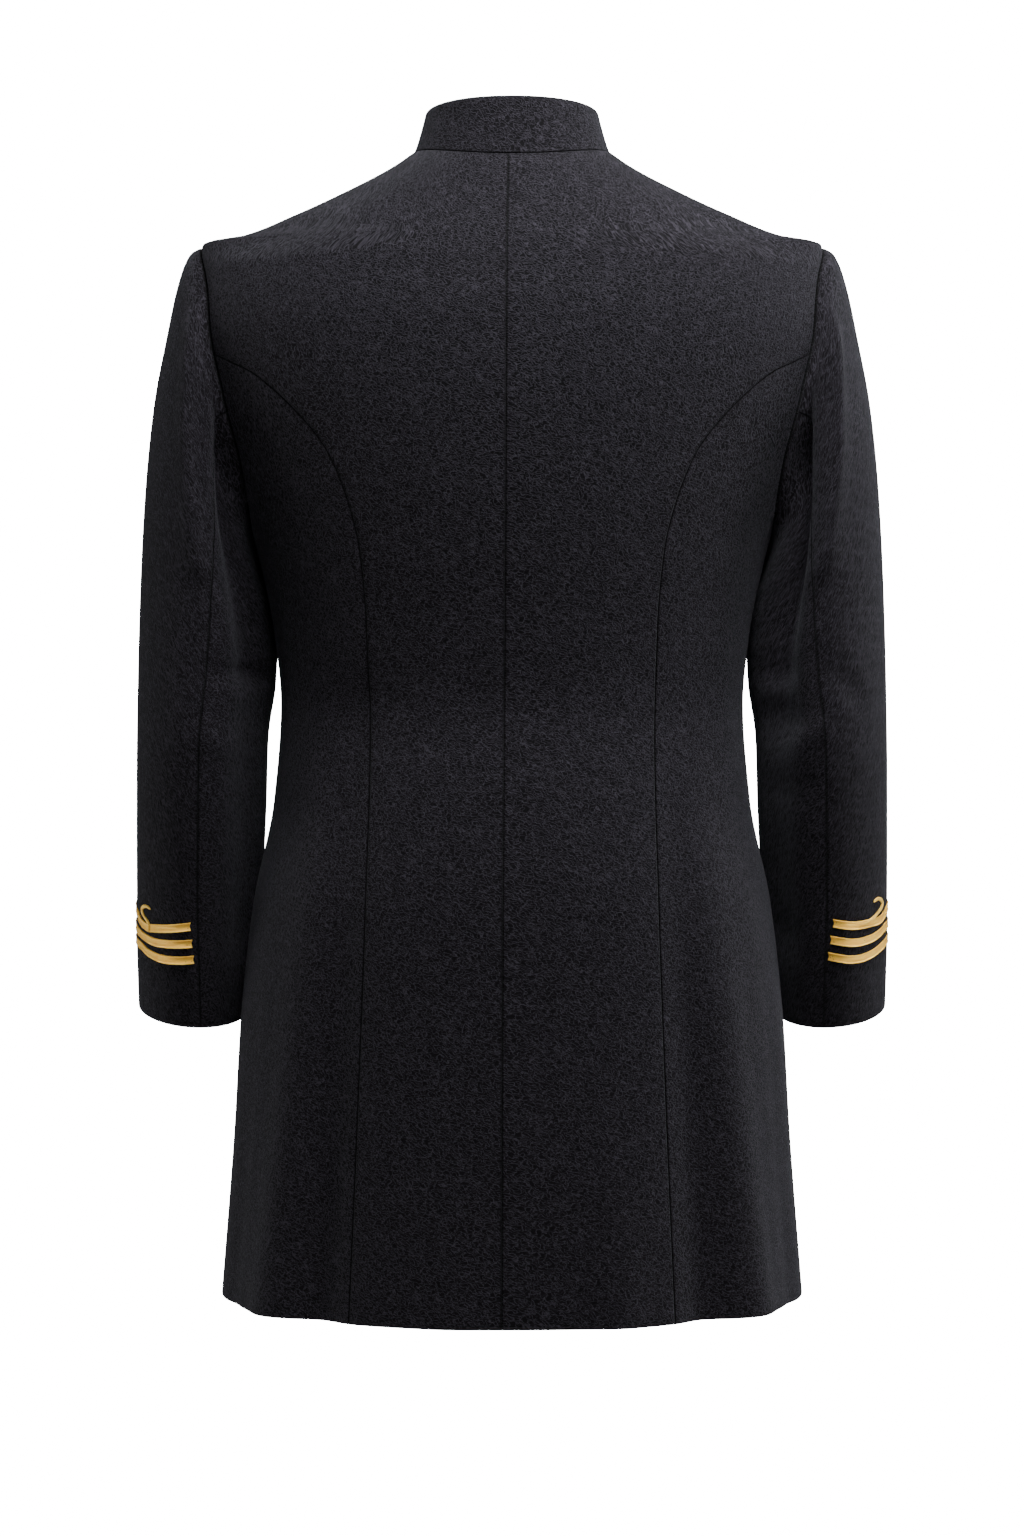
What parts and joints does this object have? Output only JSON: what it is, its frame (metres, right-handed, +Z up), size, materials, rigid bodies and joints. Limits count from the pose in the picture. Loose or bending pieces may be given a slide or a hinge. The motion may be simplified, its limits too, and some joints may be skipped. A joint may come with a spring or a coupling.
{
  "type": "coat",
  "caption": "Stand-collar wool overcoat, filled out and empty, with braided cuffs, buttoned front and two-piece sleeves.",
  "frame": {"origin": "at the nape, on the middle of the neck opening, where a wearer's or a stand's neck carries the coat", "axes": "+Z up, +Y out of the coat's back, +X to the wearer's left"},
  "size_m": [0.5844, 0.3134, 0.8984],
  "materials": {
    "wool": "brushed heavy wool",
    "gold_braid": "woven metal-thread braid",
    "button": "semi-gloss"
  },
  "bodies": {
    "root": {"back_left": "wool", "back_right": "wool", "side_left": "wool", "side_right": "wool", "front_left": "wool", "front_right": "wool", "top_sleeve_left": "wool", "top_sleeve_right": "wool", "under_sleeve_left": "wool", "under_sleeve_right": "wool", "collar": "wool", "band_left_low": "gold_braid", "band_left_middle": "gold_braid", "band_left_top": "gold_braid", "band_right_low": "gold_braid", "band_right_middle": "gold_braid", "band_right_top": "gold_braid", "curl_left": "gold_braid", "curl_right": "gold_braid", "button_1": "button", "button_2": "button", "button_3": "button", "button_4": "button", "button_5": "button", "button_6": "button"}
  },
  "joints": []
}
